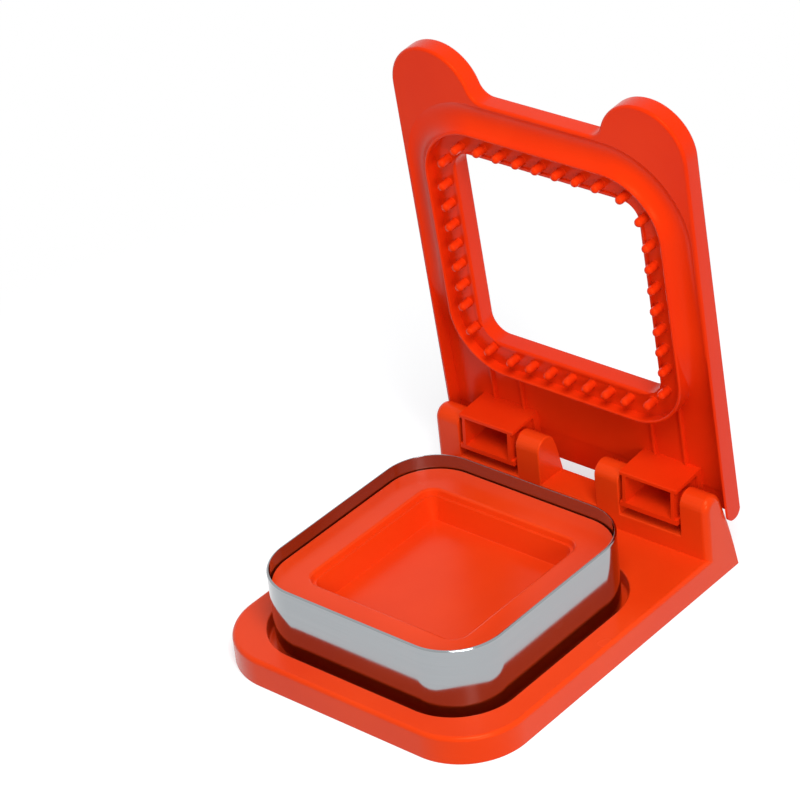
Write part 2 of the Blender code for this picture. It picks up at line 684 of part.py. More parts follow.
def make_skirt():
    """The raised skirt: a concave flare outside, a rounded rim and an upright wall inside."""
    rim_round = SKIRT_WALL / 2
    rim = FACE_Z + SKIRT_HEIGHT
    flare_foot = SKIRT_WALL + SKIRT_FLARE
    rise = SKIRT_HEIGHT - rim_round
    profile = [(0, FACE_Z - CHANNEL_DEPTH - OVERLAP), (flare_foot, FACE_Z - CHANNEL_DEPTH - OVERLAP)]
    for i in range(ROUND_STEPS + 1):
        turn = math.pi / 2 * i / ROUND_STEPS
        profile.append((flare_foot - SKIRT_FLARE * math.sin(turn), FACE_Z + rise * (1 - math.cos(turn))))
    profile += [
        (rim_round + dx, rim - rim_round + dz)
        for dx, dz in arc((0, 0), rim_round, 0, 180, ROUND_STEPS)[1:]
    ]
    sections = []
    for spread, z in profile:
        outline = rounded_square(SKIRT_HALF + spread, SKIRT_CORNER + spread, RING_REACH)
        sections.append([(x, y, z) for x, y in outline])
    return loft("skirt", sections, helpers, ring=True)


def make_peg(x, y, floor_z):
    """A round peg with a domed tip, turned about its own axis."""
    tip = FACE_Z + PEG_REACH
    dome = arc((0, 0), PEG_RADIUS, 90, 0, 3)
    profile = [(r, tip - PEG_RADIUS + z) for r, z in dome]
    profile[0] = (0, tip)
    profile += [(PEG_RADIUS, floor_z - OVERLAP), (0, floor_z - OVERLAP)]
    mesh = bpy.data.meshes.new("peg")
    mesh.from_pydata([(r, 0, z) for r, z in profile], [(i, i + 1) for i in range(len(profile) - 1)], [])
    peg = bpy.data.objects.new("peg", mesh)
    helpers.objects.link(peg)
    peg.location = (x, y, 0)
    turn = peg.modifiers.new("Turn", "SCREW")
    turn.steps = turn.render_steps = PEG_SIDES
    turn.use_merge_vertices = True
    turn.merge_threshold = CLEARANCE / 300
    return peg


def make_knuckle(side):
    """One knuckle: a box open to the front, slots outside its side walls, stub axles and two struts."""
    root = FACE_Z - HINGE_RELIEF - OVERLAP
    top = (KNUCKLE_TOP, FACE_Z + KNUCKLE_TOP_REACH)
    bottom = (-KNUCKLE_BOTTOM, FACE_Z + KNUCKLE_BOTTOM_REACH)
    block = [(bottom[0], root), bottom, top, (top[0], root)]
    left, right = sorted((side * KNUCKLE_START, side * KNUCKLE_END))
    knuckle = side_profile("knuckle", block, left, right, helpers)

    low = KNUCKLE_BOTTOM_WALL - KNUCKLE_BOTTOM
    high = KNUCKLE_TOP - KNUCKLE_TOP_WALL
    floor = FACE_Z + KNUCKLE_FLOOR
    front = FACE_Z + KNUCKLE_BOTTOM_REACH + OVERRUN
    edges = (left, left + KNUCKLE_SLOT, right - KNUCKLE_SLOT, right)
    wall = KNUCKLE_SIDE_WALL
    cuts = []
    for start, end in (
        (edges[0] - OVERRUN, edges[1]),
        (edges[1] + wall, edges[2] - wall),
        (edges[2], edges[3] + OVERRUN),
    ):
        cuts.append(box("hollow", (start, low, floor), (end, high, front), helpers))
    combine(knuckle, cuts, "DIFFERENCE", "Knuckle hollows")
    for cut in cuts:
        cut.parent = knuckle

    joins = [knuckle]
    inner_end = INNER_UPRIGHT_END - SOCKET_DEPTH + AXLE_END_GAP
    outer_end = OUTER_UPRIGHT_START + SOCKET_DEPTH - AXLE_END_GAP
    inner_root = KNUCKLE_START + KNUCKLE_SLOT + KNUCKLE_SIDE_WALL / 2
    outer_root = KNUCKLE_END - KNUCKLE_SLOT - KNUCKLE_SIDE_WALL / 2
    for start, end in ((inner_root, inner_end), (outer_root, outer_end)):
        joins.append(cylinder("axle", AXLE_RADIUS, (side * start, 0, 0), (side * end, 0, 0), helpers))
    for share in STRUT_SHARES:
        x = side * (KNUCKLE_START + share * (KNUCKLE_END - KNUCKLE_START))
        reach = RING_REACH - SKIRT_HALF - SKIRT_WALL / 2
        joins.append(
            box(
                "strut",
                (x - STRUT_WIDTH / 2, KNUCKLE_TOP - OVERLAP, FACE_Z - OVERLAP),
                (x + STRUT_WIDTH / 2, reach, FACE_Z + STRUT_HEIGHT),
                helpers,
            )
        )
    return joins


for existing in list(bpy.data.objects):
    bpy.data.objects.remove(existing)

parts = collection("sandwich_cutter")
helpers = collection("helpers")
helpers.hide_render = True

red_plastic = material("red_plastic", "E8401C", 0.32)
steel = material("polished_steel", "B9BCBE", 0.12, 1.0)
zinc = material("zinc_plate", "8E9094", 0.35, 1.0)

make_tray()
make_ring()
make_platform()
make_screws()
make_lid()
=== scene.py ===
"""The sandwich cutter and sealer, open on a pale table: a moulded tray with a steel cutting ring and a
screwed-down platform, and a lid that turns on two hollow knuckles."""

import math

import bmesh
import bpy
from mathutils import Matrix, Vector


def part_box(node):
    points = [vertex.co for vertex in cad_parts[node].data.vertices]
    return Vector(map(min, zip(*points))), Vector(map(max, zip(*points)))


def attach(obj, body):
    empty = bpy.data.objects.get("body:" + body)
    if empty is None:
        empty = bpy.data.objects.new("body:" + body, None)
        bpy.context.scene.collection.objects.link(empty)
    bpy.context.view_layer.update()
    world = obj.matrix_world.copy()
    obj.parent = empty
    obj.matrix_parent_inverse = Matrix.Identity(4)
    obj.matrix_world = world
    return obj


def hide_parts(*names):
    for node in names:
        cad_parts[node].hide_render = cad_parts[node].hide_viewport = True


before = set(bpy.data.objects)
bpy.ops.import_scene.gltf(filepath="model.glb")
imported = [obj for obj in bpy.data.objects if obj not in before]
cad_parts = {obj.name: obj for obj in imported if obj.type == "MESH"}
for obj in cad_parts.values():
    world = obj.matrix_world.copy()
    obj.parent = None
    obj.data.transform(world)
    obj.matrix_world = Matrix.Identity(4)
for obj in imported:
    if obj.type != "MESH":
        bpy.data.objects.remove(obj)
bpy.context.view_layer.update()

# The camera stands more than a metre off, to the front right of the object and above it, with a long lens.
# It leans a few degrees, as in the photograph.
MM = 0.001
camera_turn = math.radians(43.554)
camera_height = math.radians(31.537)
camera_lean = math.radians(6.681)
camera_distance = 1205.3
camera_target = Vector((-89.53, 69.06, 20.0))
picture_width = 800
focal_pixels = 3257.8

flat = math.cos(camera_height)
back = Vector((math.sin(camera_turn) * flat, -math.cos(camera_turn) * flat, math.sin(camera_height)))
across = Vector((0, 0, 1)).cross(back).normalized()
up = back.cross(across)
leaned_across = across * math.cos(camera_lean) - up * math.sin(camera_lean)
leaned_up = across * math.sin(camera_lean) + up * math.cos(camera_lean)
bpy.ops.object.camera_add(location=(camera_target + back * camera_distance) * MM)
camera = bpy.context.active_object
camera.rotation_euler = Matrix((leaned_across, leaned_up, back)).transposed().to_euler()
camera.data.sensor_width = 36
camera.data.lens = focal_pixels / picture_width * camera.data.sensor_width
bpy.context.scene.camera = camera

# The light is a white studio: a wide soft lamp above and to the right, a lower one at the camera's right
# hand, and pale walls all round.
def add_node(material, kind, links=(), **settings):
    """Adds one node, with its settings and its inputs. A link is (input, node, output)."""
    node = material.node_tree.nodes.new(kind)
    for name, value in settings.items():
        if name.startswith("in_"):
            key = name[3:].replace("_", " ")
            node.inputs[int(key) if key.isdigit() else key].default_value = value
        else:
            setattr(node, name, value)
    for socket, source, output in links:
        material.node_tree.links.new(source.outputs[output], node.inputs[socket])
    return node


def from_hex(code):
    """A colour written as sRGB hex, turned to linear light."""
    parts = [int(code[i : i + 2], 16) / 255 for i in (0, 2, 4)]
    return [c / 12.92 if c <= 0.04045 else ((c + 0.055) / 1.055) ** 2.4 for c in parts] + [1.0]


def is_seen(material):
    """A switch that is on for what the camera sees, straight on, mirrored or through something clear."""
    rays = add_node(material, "ShaderNodeLightPath")
    links = [(0, rays, "Is Camera Ray"), (1, rays, "Is Glossy Ray")]
    seen = add_node(material, "ShaderNodeMath", links, operation="MAXIMUM")
    links = [(0, seen, 0), (1, rays, "Is Transmission Ray")]
    return add_node(material, "ShaderNodeMath", links, operation="MAXIMUM")


bpy.context.scene.view_settings.view_transform = "Standard"
studio = bpy.data.worlds.new("white_studio")
studio.use_nodes = True
studio.node_tree.nodes.clear()
seen = is_seen(studio)
fill_light = add_node(studio, "ShaderNodeBackground", in_Color=from_hex("F4F6FA"), in_Strength=0.5)
white_wall = add_node(studio, "ShaderNodeBackground", in_Color=from_hex("FFFFFF"), in_Strength=1.0)
either = add_node(studio, "ShaderNodeMixShader", [(0, seen, 0), (1, fill_light, 0), (2, white_wall, 0)])
add_node(studio, "ShaderNodeOutputWorld", [("Surface", either, 0)])
bpy.context.scene.world = studio

lamp_target = Vector((0, 0, 40))
for name, place, size, watts in (
    ("lamp_overhead", (380, -300, 820), 420, 6.4),
    ("lamp_by_camera", (900, -520, 380), 320, 3.9),
):
    bpy.ops.object.light_add(type="AREA", location=Vector(place) * MM)
    lamp = bpy.context.active_object
    lamp.name = name
    lamp.data.size = size * MM
    lamp.data.energy = watts
    lamp.rotation_euler = (Vector(place) - lamp_target).to_track_quat("Z", "Y").to_euler()

# The table is matt white board. It keeps the object's soft shadow, and goes over to pure white away from it.
# The light that it throws back up on the object is that of a slightly greyer board.
def new_material(name):
    """A material with nothing in its node tree yet."""
    material = bpy.data.materials.new(name)
    material.use_nodes = True
    material.node_tree.nodes.clear()
    return material


floor_reach = 4000
shadow_reach, white_from = 0.14, 0.32
bpy.ops.object.select_all(action="DESELECT")
bpy.ops.mesh.primitive_plane_add(size=2 * floor_reach * MM, location=(0, 0, -0.1 * MM))
table = bpy.context.active_object
table.name = "table"
white_board = new_material("matt_white_board")
seen = is_seen(white_board)
lit_board = add_node(white_board, "ShaderNodeBsdfDiffuse", in_Color=from_hex("D2D2D2"))
lift = add_node(white_board, "ShaderNodeEmission", in_Color=from_hex("FFFFFF"), in_Strength=0.5)
lifted = add_node(white_board, "ShaderNodeAddShader", [(0, lit_board, 0), (1, lift, 0)])
spot = add_node(white_board, "ShaderNodeNewGeometry")
reach = add_node(white_board, "ShaderNodeVectorMath", [(0, spot, "Position")], operation="LENGTH")
away = add_node(
    white_board, "ShaderNodeMapRange", [("Value", reach, "Value")], in_1=shadow_reach, in_2=white_from
)
pure = add_node(white_board, "ShaderNodeEmission", in_Color=from_hex("FFFFFF"), in_Strength=1.0)
far = add_node(white_board, "ShaderNodeMixShader", [(0, away, 0), (1, lifted, 0), (2, pure, 0)])
bounce = add_node(white_board, "ShaderNodeBsdfDiffuse", in_Color=from_hex("B4B4B4"))
either = add_node(white_board, "ShaderNodeMixShader", [(0, seen, 0), (1, bounce, 0), (2, far, 0)])
add_node(white_board, "ShaderNodeOutputMaterial", [("Surface", either, 0)])
table.data.materials.append(white_board)

# The tray is one injection moulding in glossy ABS, with walls of about 2 mm, hollow beneath. Its front
# corners are wide arcs, a moat is sunk in it for the ring, and four uprights joined by a low web stand at
# its rear.
tray_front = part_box("base_tray")[0].y / MM
tray_half, tray_depth, plate_top = 60.0, 144.0, 10.6
tray_corner, tray_rim, tray_foot_rim = 24.6, 1.6, 0.4
ring_y = tray_front + 59.0
wall = 2.2
hinge_y, hinge_z = tray_front + 133.2, 30.6


def work_on(piece):
    """Makes one object the only one selected, and the active one."""
    bpy.ops.object.select_all(action="DESELECT")
    piece.select_set(True)
    bpy.context.view_layer.objects.active = piece


def block(name, low, high):
    """A cube primitive between two corners given in millimetres, with its place in its mesh."""
    bpy.ops.object.select_all(action="DESELECT")
    middle = [(a + b) / 2 * MM for a, b in zip(low, high)]
    size = [(b - a) * MM for a, b in zip(low, high)]
    bpy.ops.mesh.primitive_cube_add(size=1, location=middle, scale=size)
    piece = bpy.context.active_object
    piece.name = piece.data.name = name
    bpy.ops.object.transform_apply(location=True, rotation=True, scale=True)
    return piece


def pick_edges(piece, rule):
    """Goes into edit mode with only those edges selected whose two ends, in millimetres, the rule accepts."""
    work_on(piece)
    bpy.ops.object.mode_set(mode="EDIT")
    bpy.ops.mesh.select_mode(type="EDGE")
    bpy.ops.mesh.select_all(action="DESELECT")
    shape = bmesh.from_edit_mesh(piece.data)
    for edge in shape.edges:
        if rule(*(vert.co / MM for vert in edge.verts)):
            edge.select_set(True)
    bmesh.update_edit_mesh(piece.data)


def soften(piece, rule, radius, steps):
    """Rounds the edges that the rule accepts."""
    pick_edges(piece, rule)
    bpy.ops.mesh.bevel(offset=radius * MM, segments=steps, affect="EDGES", clamp_overlap=False)
    bpy.ops.object.mode_set(mode="OBJECT")


def upright_edge(a, b):
    """Accepts an edge that runs straight up."""
    return abs(a.x - b.x) < 0.01 and abs(a.y - b.y) < 0.01 and abs(a.z - b.z) > 0.01


def at_height(z):
    """Accepts the edges that lie at one height."""
    return lambda a, b: abs(a.z - z) < 0.01 and abs(b.z - z) < 0.01


def combine(piece, tool, operation):
    """Joins a tool to a piece or cuts it away, and removes the tool."""
    change = piece.modifiers.new(operation, "BOOLEAN")
    change.operation = operation
    change.solver = "EXACT"
    change.object = tool
    work_on(piece)
    bpy.ops.object.modifier_apply(modifier=change.name)
    bpy.data.objects.remove(tool)


def trace(name, points, depth=None):
    """Draws an outline by pulling one vertex from point to point, fills it, and pulls it out by depth."""
    bpy.ops.object.select_all(action="DESELECT")
    bpy.ops.mesh.primitive_plane_add(size=MM)
    piece = bpy.context.active_object
    piece.name = piece.data.name = name
    bpy.ops.object.mode_set(mode="EDIT")
    bpy.ops.mesh.select_mode(type="VERT")
    bpy.ops.mesh.select_all(action="SELECT")
    bpy.ops.mesh.merge(type="CENTER")
    bpy.ops.transform.translate(value=Vector(points[0]) * MM)
    for here, there in zip(points, points[1:]):
        step = (Vector(there) - Vector(here)) * MM
        bpy.ops.mesh.extrude_region_move(TRANSFORM_OT_translate={"value": step})
    if depth is not None:
        bpy.ops.mesh.select_all(action="SELECT")
        bpy.ops.mesh.edge_face_add()
        bpy.ops.mesh.extrude_region_move(TRANSFORM_OT_translate={"value": Vector(depth) * MM})
        bpy.ops.mesh.select_all(action="SELECT")
        bpy.ops.mesh.normals_make_consistent(inside=False)
    bpy.ops.object.mode_set(mode="OBJECT")
    return piece


def arc(y, z, radius, start, end, steps):
    """Points of an arc in the side view, as (y, z), with angles in degrees from +Y."""
    turns = [math.radians(start + (end - start) * i / steps) for i in range(steps + 1)]
    return [(y + radius * math.cos(t), z + radius * math.sin(t)) for t in turns]


def rounded_block(name, half, corner, centre_y, low, high, steps=24):
    """A square block with rounded upright edges."""
    piece = block(name, (-half, centre_y - half, low), (half, centre_y + half, high))
    soften(piece, upright_edge, corner, steps)
    return piece


def settle(piece, angle=32):
    """Smooth shading that keeps flats flat and edges crisp."""
    work_on(piece)
    bpy.ops.object.shade_smooth_by_angle(angle=math.radians(angle))
    weights = piece.modifiers.new("flats", "WEIGHTED_NORMAL")
    weights.keep_sharp = True
    weights.weight = 100
    bpy.ops.object.modifier_apply(modifier=weights.name)


upright_front, upright_back = tray_front + 127.0, tray_front + tray_depth
crown_y, crown_z, crown = upright_front + 4.9, 29.6, 4.9
slope_run = upright_back - crown_y - crown
slope_angle = math.degrees(math.atan2(slope_run, crown_z))
crown_line = arc(crown_y, crown_z, crown, 180, slope_angle, 16)
meet_y, meet_z = crown_line[-1]


def back_at(z):
    """How far back the uprights' sloping rear face is at a height."""
    return upright_back + (meet_y - upright_back) * z / meet_z


def slope_rear(piece, low, high, inset):
    """Cuts the rear of a piece to the uprights' slope, or to a wall's thickness inside it."""
    ends = [(upright_back + 3, low), (upright_back + 3, high)]
    line = [(back_at(low) - inset, low)] + ends + [(back_at(high) - inset, high)]
    cut = trace("rear_slope", [(-tray_half - 2, y, z) for y, z in line], (2 * tray_half + 4, 0, 0))
    combine(piece, cut, "DIFFERENCE")


tray = block("tray", (-tray_half, tray_front, 0), (tray_half, upright_back + 1, plate_top))
slope_rear(tray, -2, plate_top + 1, 0)
soften(tray, lambda a, b: upright_edge(a, b) and a.y < 0, tray_corner, 28)
soften(tray, at_height(plate_top), tray_rim, 5)
soften(tray, at_height(0), tray_foot_rim, 2)

inner_upright, outer_upright = (12.3, 22.6), (48.7, tray_half)
web_top, web_end = 17.3, tray_half - 4
foot = plate_top - 2.5
web_line = [(upright_front, foot), (upright_front, web_top)]
web_line += [(back_at(web_top), web_top), (back_at(foot), foot)]
web = trace("web", [(-web_end, y, z) for y, z in web_line], (2 * web_end, 0, 0))
soften(web, lambda a, b: at_height(web_top)(a, b) and abs(a.x - b.x) > 1, 0.6, 3)
combine(tray, web, "UNION")


def side_rim(x):
    """Accepts the edges of an upright's side at x that run up its front and over its crown."""

    def rule(a, b):
        above_foot = min(a.y, b.y) < meet_y - 0.01 and max(a.z, b.z) > foot + 0.1
        return abs(a.x - x) < 0.01 and abs(b.x - x) < 0.01 and above_foot

    return rule


outermost_rim, upright_rim = 2.6, 0.5
upright_line = [(upright_front, foot)] + crown_line + [(back_at(foot), foot)]
for side in (-1, 1):
    for start, end in (inner_upright, outer_upright):
        outline = [(side * start, y, z) for y, z in upright_line]
        upright = trace("upright", outline, (side * (end - start), 0, 0))
        soften(upright, side_rim(side * end), outermost_rim if end == tray_half else upright_rim, 6)
        soften(upright, side_rim(side * start), upright_rim, 3)
        combine(tray, upright, "UNION")

# Beneath, the tray is hollowed to its wall: a wide pocket, one up the web and one up each upright.
pocket_half, pocket_back = tray_half - wall, upright_back - wall
pocket_low = (-pocket_half, tray_front + wall, -2)
pocket = block("pocket", pocket_low, (pocket_half, pocket_back, plate_top - wall))
soften(pocket, lambda a, b: upright_edge(a, b) and a.y < 0, tray_corner - wall, 20)
slope_rear(pocket, -3, plate_top, wall)
combine(tray, pocket, "DIFFERENCE")
hollow_front, lean = upright_front + wall, slope_run / crown_z
upright_hollow_top = 26.1
hollows = [(-pocket_half, pocket_half, web_top - wall)]
for side in (-1, 1):
    for start, end in (inner_upright, outer_upright):
        hollows.append((side * (start + wall), side * (end - wall), upright_hollow_top))
for start, end, top in hollows:
    line = [(hollow_front, -2), (pocket_back, -2), (pocket_back - lean * top, top), (hollow_front, top)]
    hollow = trace("hollow", [(start, y, z) for y, z in line], (end - start, 0, 0))
    combine(tray, hollow, "DIFFERENCE")

# The moat's pan hangs in the pocket, with collars for the screws' heads and ribs out to the walls.
moat_half, moat_corner, moat_floor = 50.5, 22.8, 5.0
in_plate = plate_top - wall / 2
pan = rounded_block("pan", moat_half + wall, moat_corner + wall, ring_y, moat_floor - wall, in_plate, 20)
combine(tray, pan, "UNION")
rib, rib_foot, bite = 0.8, 1.2, 0.4
pan_front, pan_back = ring_y - moat_half - bite, ring_y + moat_half + bite
ribs = []
for share in (-0.62, 0.0, 0.62):
    along = share * moat_half
    for side in (-1, 1):
        start, end = sorted((side * (moat_half + bite), side * (tray_half - bite)))
        ribs.append(((start, ring_y + along - rib, rib_foot), (end, ring_y + along + rib, in_plate)))
    ribs.append(((along - rib, tray_front + bite, rib_foot), (along + rib, pan_front, in_plate)))
for share in (-0.56, 0.0, 0.56):
    along = share * tray_half
    ribs.append(((along - rib, pan_back, rib_foot), (along + rib, hollow_front + bite, in_plate)))
for low, high in ribs:
    combine(tray, block("rib", low, high), "UNION")


def rod(name, radius, place, low, high, sides=32):
    """A round bar that stands on end."""
    bpy.ops.object.select_all(action="DESELECT")
    middle = Vector((place[0], place[1], (low + high) / 2)) * MM
    length = (high - low) * MM
    bpy.ops.mesh.primitive_cylinder_add(vertices=sides, radius=radius * MM, depth=length, location=middle)
    piece = bpy.context.active_object
    piece.name = piece.data.name = name
    bpy.ops.object.transform_apply(location=True, rotation=True, scale=True)
    return piece


screw_inset, collar, collar_foot, counterbore, screw_hole = 33.0, 4.75, 0.3, 3.05, 1.6
screw_places = [(screw_inset * sx, ring_y + screw_inset * sy) for sx in (-1, 1) for sy in (-1, 1)]
for place in screw_places:
    combine(tray, rod("collar", collar, place, collar_foot, moat_floor - bite), "UNION")

# The moat is sunk through the plate into the pan, and its lip and foot are rounded.
moat_foot_round, moat_lip_round, moat_inmost = 0.8, 0.6, 45
moat = rounded_block("moat", moat_half, moat_corner, ring_y, moat_floor, plate_top + 3)
soften(moat, at_height(moat_floor), moat_foot_round, 3)
combine(tray, moat, "DIFFERENCE")


def moat_lip(a, b):
    """Accepts the edge where the moat meets the plate's top: its long sides, and the short steps between."""
    if not at_height(plate_top)(a, b):
        return False
    spots = [(p.x, p.y - ring_y) for p in (a, b)]
    if any(max(abs(x), abs(y)) > moat_half + 0.02 or math.hypot(x, y) < moat_inmost for x, y in spots):
        return False
    short = abs(a.x - b.x) + abs(a.y - b.y) < 3
    return short or max(abs(spots[0][0]), abs(spots[0][1])) > moat_half - 0.02


soften(tray, moat_lip, moat_lip_round, 3)
for place in screw_places:
    combine(tray, rod("counterbore", counterbore, place, -2, moat_floor - wall), "DIFFERENCE")
    combine(tray, rod("screw_hole", screw_hole, place, -2, moat_floor + 2), "DIFFERENCE")


def cross_bar(name, radius, start, end):
    """A round bar along X, through the origin's line."""
    low, high = sorted((start, end))
    bar = rod(name, radius, (0, 0), low, high)
    bar.data.transform(Matrix.Rotation(math.radians(90), 4, "Y"))
    return bar


# The sockets that the lid's stub axles turn in are blind, one in each upright's inner face.
socket_radius, socket_depth, overrun = 2.1, 3.2, 0.3
on_hinge = Matrix.Translation(Vector((0, hinge_y, hinge_z)) * MM)
for side in (-1, 1):
    for mouth, inward in ((inner_upright[1], -1), (outer_upright[0], 1)):
        start, end = mouth - overrun * inward, mouth + socket_depth * inward
        socket = cross_bar("socket", socket_radius, side * start, side * end)
        socket.data.transform(on_hinge)
        combine(tray, socket, "DIFFERENCE")
settle(tray)

# Glossy ABS, injection moulded in orange red: even colour with faint flow clouds a few centimetres long, a
# skin that follows a fine orange peel of about 1 mm, and a soft gloss.
red_abs = new_material("glossy_red_abs")
spot = [("Vector", add_node(red_abs, "ShaderNodeTexCoord"), "Object")]
clouds = add_node(red_abs, "ShaderNodeTexNoise", spot, in_Scale=28.0, in_Detail=3.0, in_Roughness=0.45)
colour = add_node(red_abs, "ShaderNodeValToRGB", [("Fac", clouds, "Fac")])
colour.color_ramp.elements[0].position = 0.3
colour.color_ramp.elements[0].color = from_hex("DA2C07")
colour.color_ramp.elements[1].position = 0.7
colour.color_ramp.elements[1].color = from_hex("E0330A")
peel = add_node(red_abs, "ShaderNodeTexNoise", spot, in_Scale=850.0, in_Detail=2.0, in_Roughness=0.4)
grain = add_node(red_abs, "ShaderNodeTexNoise", spot, in_Scale=4200.0, in_Detail=1.0)
skin = add_node(red_abs, "ShaderNodeBump", [("Height", peel, "Fac")], in_Strength=0.12, in_Distance=0.00012)
links = [("Height", grain, "Fac"), ("Normal", skin, 0)]
skin = add_node(red_abs, "ShaderNodeBump", links, in_Strength=0.08, in_Distance=0.00003)
gloss = add_node(red_abs, "ShaderNodeMapRange", [("Value", clouds, "Fac")], in_3=0.22, in_4=0.29)
abs_shader = add_node(
    red_abs,
    "ShaderNodeBsdfPrincipled",
    [("Base Color", colour, 0), ("Roughness", gloss, 0), ("Normal", skin, 0)],
    in_IOR=1.53,
)
abs_shader.inputs["Specular IOR Level"].default_value = 0.24
abs_shader.inputs["Specular Tint"].default_value = from_hex("FF6636")
add_node(red_abs, "ShaderNodeOutputMaterial", [("Surface", abs_shader, 0)])

# The tray and the platform are the lid's own ABS. Their colour is painted a shade lighter and more orange,
# with a stronger tinted gloss, for the brighter light that falls on the tray.
painted_lighter_abs = red_abs.copy()
painted_lighter_abs.name = "glossy_red_abs_painted_lighter"
painted_lighter_ramp = next(node for node in painted_lighter_abs.node_tree.nodes if node.type == "VALTORGB").color_ramp
# Painted light: the colour is lighter and more orange than the lid's, for the brighter light on the tray.
painted_lighter_ramp.elements[0].color = from_hex("DC370B")
painted_lighter_ramp.elements[1].color = from_hex("E23E0F")
tray_shader = next(node for node in painted_lighter_abs.node_tree.nodes if node.type == "BSDF_PRINCIPLED")
tray_shader.inputs["Specular IOR Level"].default_value = 0.36
tray_shader.inputs["Specular Tint"].default_value = from_hex("FF8A5C")


def clad(piece, material, body):
    """Gives a piece its material and sets it on its body."""
    piece.data.materials.clear()
    piece.data.materials.append(material)
    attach(piece, body)


clad(tray, painted_lighter_abs, "base")
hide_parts("base_tray")

# The cutting ring is stainless strip 0.8 mm thick, bent to a rounded square and welded. Its top is ground to
# an edge from outside, and its foot is turned in to a flange that the platform clamps.
ring_half, ring_corner, ring_foot, ring_top = 47.8, 20.1, 5.3, 34.7


def face_outwards():
    """Turns the normals of the mesh that is being edited outwards, and goes back to object mode."""
    bpy.ops.mesh.select_all(action="SELECT")
    bpy.ops.mesh.normals_make_consistent(inside=False)
    bpy.ops.object.mode_set(mode="OBJECT")


def weld():
    """Closes the mesh that is being edited where its first and last points meet."""
    bpy.ops.mesh.select_all(action="SELECT")
    bpy.ops.mesh.remove_doubles(threshold=0.002 * MM)
    face_outwards()


def run_round(piece, half, corner, centre_y, steps=24):
    """Runs an outline that stands over the middle of the +X side once round a rounded square."""
    straight = (half - corner) * MM
    work_on(piece)
    bpy.ops.object.mode_set(mode="EDIT")
    bpy.ops.mesh.select_mode(type="VERT")
    bpy.ops.mesh.select_all(action="SELECT")
    runs = [(0, 1, 1), (-1, 0, 2), (0, -1, 2), (1, 0, 2)]
    corners = [(1, 1), (-1, 1), (-1, -1), (1, -1)]
    for (dx, dy, share), (cx, cy) in zip(runs, corners):
        step = (dx * straight * share, dy * straight * share, 0)
        bpy.ops.mesh.extrude_region_move(TRANSFORM_OT_translate={"value": step})
        bpy.ops.mesh.spin(
            steps=steps,
            angle=-math.radians(90),
            center=(cx * straight, centre_y * MM + cy * straight, 0),
            axis=(0, 0, 1),
        )
    bpy.ops.mesh.extrude_region_move(TRANSFORM_OT_translate={"value": (0, straight, 0)})
    weld()


def close_outline(piece):
    """Joins the ends of a drawn outline with one more edge."""
    work_on(piece)
    bpy.ops.object.mode_set(mode="EDIT")
    bpy.ops.mesh.select_all(action="SELECT")
    bpy.ops.mesh.edge_face_add()
    bpy.ops.mesh.delete(type="ONLY_FACE")
    bpy.ops.object.mode_set(mode="OBJECT")


strip, bend, flange = 0.8, 1.6, 6.0
bend_z = ring_foot + bend
ring_line = [(0, ring_top - 0.55), (-0.1, ring_top - 0.3), (-0.5, ring_top), (-0.72, ring_top)]
ring_line += [(-strip, ring_top - 0.1), (-strip, bend_z)] + arc(-bend, bend_z, bend - strip, 0, -90, 5)[1:]
ring_line += [(-flange, ring_foot + strip), (-flange, ring_foot)] + arc(-bend, bend_z, bend, -90, 0, 8)
ring = trace("ring", [(ring_half + d, ring_y, z) for d, z in ring_line])
close_outline(ring)
run_round(ring, ring_half, ring_corner, ring_y, 32)
settle(ring, 40)

# Stainless steel 18/10, rolled and polished: neutral grey, with the rolling lines running along the strip.
# The lines are about 0.05 mm apart in truth, and are drawn six times coarser so that they show.
polished_steel = new_material("polished_stainless")
spot = add_node(polished_steel, "ShaderNodeTexCoord")
stretch = add_node(polished_steel, "ShaderNodeMapping", [("Vector", spot, "Object")])
stretch.inputs["Scale"].default_value = (20, 20, 3300)
lines = add_node(polished_steel, "ShaderNodeTexNoise", [("Vector", stretch, 0)], in_Scale=1.0, in_Detail=2.0)
links = [("Vector", spot, "Object")]
smears = add_node(polished_steel, "ShaderNodeTexNoise", links, in_Scale=60.0, in_Detail=3.0)
links = [("Height", lines, "Fac")]
line_bump = add_node(polished_steel, "ShaderNodeBump", links, in_Strength=0.1, in_Distance=0.00002)
steel_gloss = add_node(polished_steel, "ShaderNodeMapRange", [("Value", smears, "Fac")], in_3=0.07, in_4=0.12)
steel_colour = add_node(polished_steel, "ShaderNodeValToRGB", [("Fac", lines, "Fac")])
steel_colour.color_ramp.elements[0].color = from_hex("94989B")
steel_colour.color_ramp.elements[1].color = from_hex("9EA2A4")
steel_shader = add_node(
    polished_steel,
    "ShaderNodeBsdfPrincipled",
    [("Base Color", steel_colour, 0), ("Roughness", steel_gloss, 0), ("Normal", line_bump, 0)],
    in_Metallic=1.0,
)
add_node(polished_steel, "ShaderNodeOutputMaterial", [("Surface", steel_shader, 0)])
clad(ring, polished_steel, "base")
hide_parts("cutter_ring")

